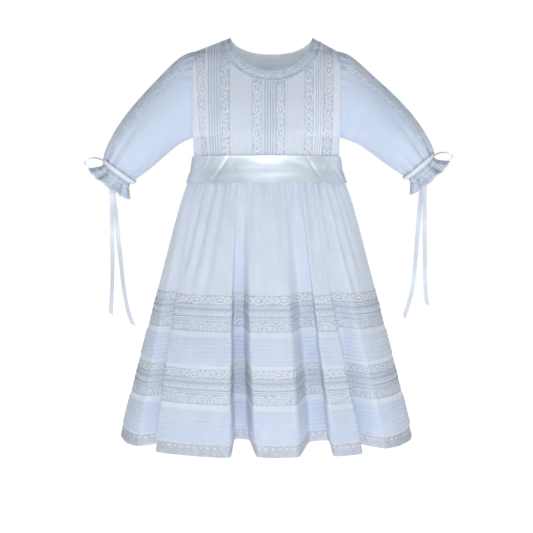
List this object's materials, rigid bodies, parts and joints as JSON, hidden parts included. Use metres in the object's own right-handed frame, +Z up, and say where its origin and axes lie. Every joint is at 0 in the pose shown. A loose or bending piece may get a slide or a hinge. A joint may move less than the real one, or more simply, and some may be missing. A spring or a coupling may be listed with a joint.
{
  "type": "lace dress",
  "caption": "Child's white lace dress with elbow sleeves, lace-striped bodice, satin sash, and a gathered skirt banded with lace, tucks and net, filled out as if worn.",
  "frame": {"origin": "middle of the neck opening, level with the shoulder seams at the neck, where the wearer's shoulders carry the dress", "axes": "+Z up, +X towards the right seen from the front, front facing -Y"},
  "size_m": [0.5273, 0.3024, 0.556],
  "materials": {
    "batiste": "matt fine cotton batiste, a little sheer",
    "lace": "cotton insertion lace on a fine net ground",
    "net": "open cotton net edging",
    "satin": "smooth satin ribbon with a soft sheen",
    "button": "small glossy round buttons"
  },
  "bodies": {
    "root": {"bodice_front": "batiste", "bodice_back_left": "batiste", "bodice_back_right": "batiste", "back_placket": "batiste", "sleeve_left": "batiste", "sleeve_right": "batiste", "skirt_top": "batiste", "skirt_tucks_upper": "batiste", "skirt_tucks_lower": "batiste", "neck_lace": "lace", "cuff_frill_left": "lace", "cuff_frill_right": "lace", "skirt_lace_upper": "lace", "skirt_lace_lower": "lace", "net_hem": "net", "sash": "satin", "cuff_ribbon_left": "satin", "cuff_ribbon_right": "satin", "bow_knot_left": "satin", "bow_knot_right": "satin", "bow_loop_left_inner": "satin", "bow_loop_left_outer": "satin", "bow_loop_right_inner": "satin", "bow_loop_right_outer": "satin", "ribbon_tail_left_a": "satin", "ribbon_tail_left_b": "satin", "ribbon_tail_right_a": "satin", "ribbon_tail_right_b": "satin", "button_1": "button", "button_2": "button", "button_3": "button", "button_4": "button", "button_5": "button"}
  },
  "joints": []
}
